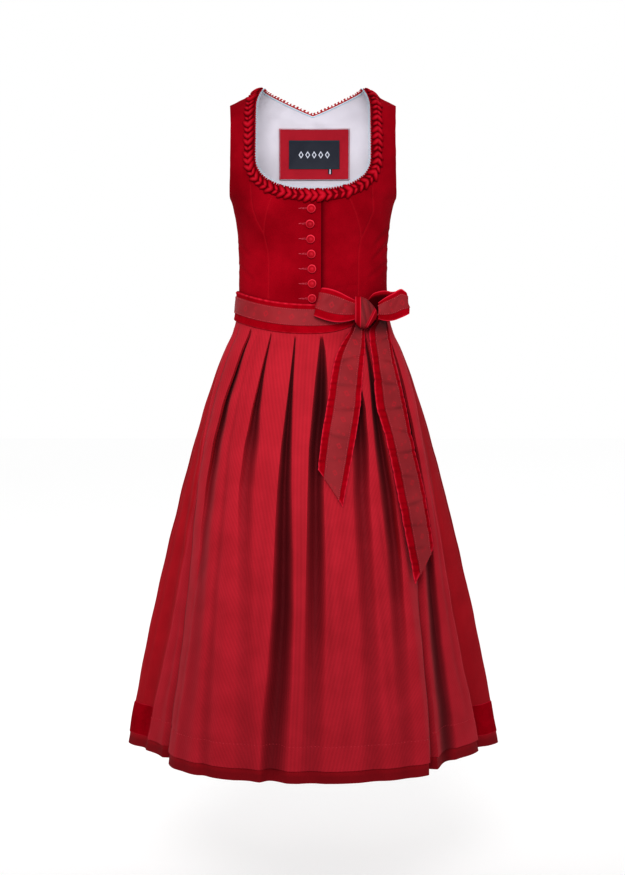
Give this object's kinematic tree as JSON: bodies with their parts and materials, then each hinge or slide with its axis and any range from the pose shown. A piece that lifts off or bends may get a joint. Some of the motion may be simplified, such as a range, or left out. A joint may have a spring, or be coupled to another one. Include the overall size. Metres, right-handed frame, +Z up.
{
  "type": "dirndl with apron",
  "caption": "Sleeveless folk dress with a velvet buttoned bodice, plaited neck trimming, gathered skirt and an apron tied with a ribbon bow, in its worn hollow form.",
  "frame": {"origin": "midway between the shoulder seams, at the height where the wearer's shoulders carry the dress", "axes": "+Z up along the wearer's body, -Y out of the front, +X to the wearer's left"},
  "size_m": [0.653, 0.558, 1.1417],
  "materials": {
    "bodice_velvet": "cotton velvet",
    "trim_velvet": "cotton velvet",
    "button_velvet": "cotton velvet",
    "lining": "plain woven cotton",
    "label_patch": "plain woven",
    "label": "woven label",
    "skirt_cloth": "plain woven, matt",
    "apron_cloth": "fine twill with a soft sheen",
    "ribbon": "taffeta ribbon"
  },
  "bodies": {
    "root": {"bodice_front_right": "bodice_velvet", "bodice_front_left": "bodice_velvet", "bodice_back": "bodice_velvet", "back_lining": "lining", "neck_braid_right": "trim_velvet", "neck_braid_left": "trim_velvet", "button_1": "button_velvet", "button_2": "button_velvet", "button_3": "button_velvet", "button_4": "button_velvet", "button_5": "button_velvet", "button_6": "button_velvet", "button_7": "button_velvet", "label_patch": "label_patch", "label": "label", "label_tab": "label", "waistband_velvet": "trim_velvet", "waistband_ribbon": "ribbon", "bow_knot": "ribbon", "bow_loop_right": "trim_velvet", "bow_loop_left": "trim_velvet", "bow_tail_right": "trim_velvet", "bow_tail_right_ribbon": "ribbon", "bow_tail_left": "trim_velvet", "bow_tail_left_ribbon": "ribbon", "apron": "apron_cloth", "skirt_front": "skirt_cloth", "skirt_back": "skirt_cloth", "hem_band_front": "trim_velvet", "hem_band_back": "trim_velvet"}
  },
  "joints": []
}
